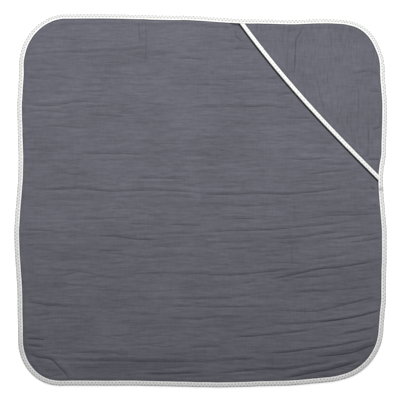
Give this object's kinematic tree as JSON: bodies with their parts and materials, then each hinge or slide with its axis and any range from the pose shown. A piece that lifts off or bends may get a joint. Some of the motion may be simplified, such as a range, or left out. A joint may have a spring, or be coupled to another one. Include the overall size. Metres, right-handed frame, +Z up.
{
  "type": "hooded baby towel",
  "caption": "Square muslin baby towel with a triangular corner hood that opens into a pocket as the towel folds, edged all round with folded binding tape.",
  "frame": {"origin": "on the surface the towel lies on, under the middle of its outline", "axes": "+Z up out of the lying towel, +Y up the towel towards the hood's side, +X to the right, so that the hood is over the corner at +X, +Y"},
  "size_m": [0.7485, 0.75, 0.0066],
  "materials": {
    "muslin": "matte crinkled double-gauze cotton, dark grey",
    "tape": "matte white knitted cotton binding tape",
    "thread": "white sewing thread",
    "label": "blank white woven label"
  },
  "bodies": {
    "left_half": {"left_face_ply": "muslin", "left_back_ply": "muslin", "left_edge_tape": "tape", "left_edge_thread": "thread", "left_hood_margin_face": "muslin", "left_hood_margin_lining": "muslin", "left_hood_tape_end": "tape", "care_label": "label"},
    "right_half": {"right_face_ply": "muslin", "right_back_ply": "muslin", "right_edge_tape": "tape", "right_edge_thread": "thread", "right_hood_margin_face": "muslin", "right_hood_margin_lining": "muslin", "right_hood_tape_end": "tape"},
    "hood_left": {"left_hood_face": "muslin", "left_hood_lining": "muslin", "left_hood_tape": "tape", "left_hood_thread": "thread"},
    "hood_right": {"right_hood_face": "muslin", "right_hood_lining": "muslin", "right_hood_tape": "tape", "right_hood_thread": "thread"}
  },
  "joints": [
    {"name": "diagonal_fold", "type": "hinge", "parent": "left_half", "child": "right_half", "pos_m": [0.32884, 0.32884, 0.00225], "axis": [-0.7091, -0.7051, 0], "range_deg": [0, 60]},
    {"name": "left_hood_seam", "type": "hinge", "parent": "left_half", "child": "hood_left", "pos_m": [0.32884, 0.32884, 0.00225], "axis": [-0.9966, 0.0824, 0], "range_deg": [0, 83.4]},
    {"name": "right_hood_seam", "type": "hinge", "parent": "right_half", "child": "hood_right", "pos_m": [0.32884, 0.32884, 0.00225], "axis": [-0.0768, 0.997, 0], "range_deg": [0, 83.4]}
  ],
  "couplings": [
    {"joint": "left_hood_seam", "follows": "diagonal_fold", "ratio": 1.3891},
    {"joint": "right_hood_seam", "follows": "diagonal_fold", "ratio": 1.3891}
  ]
}
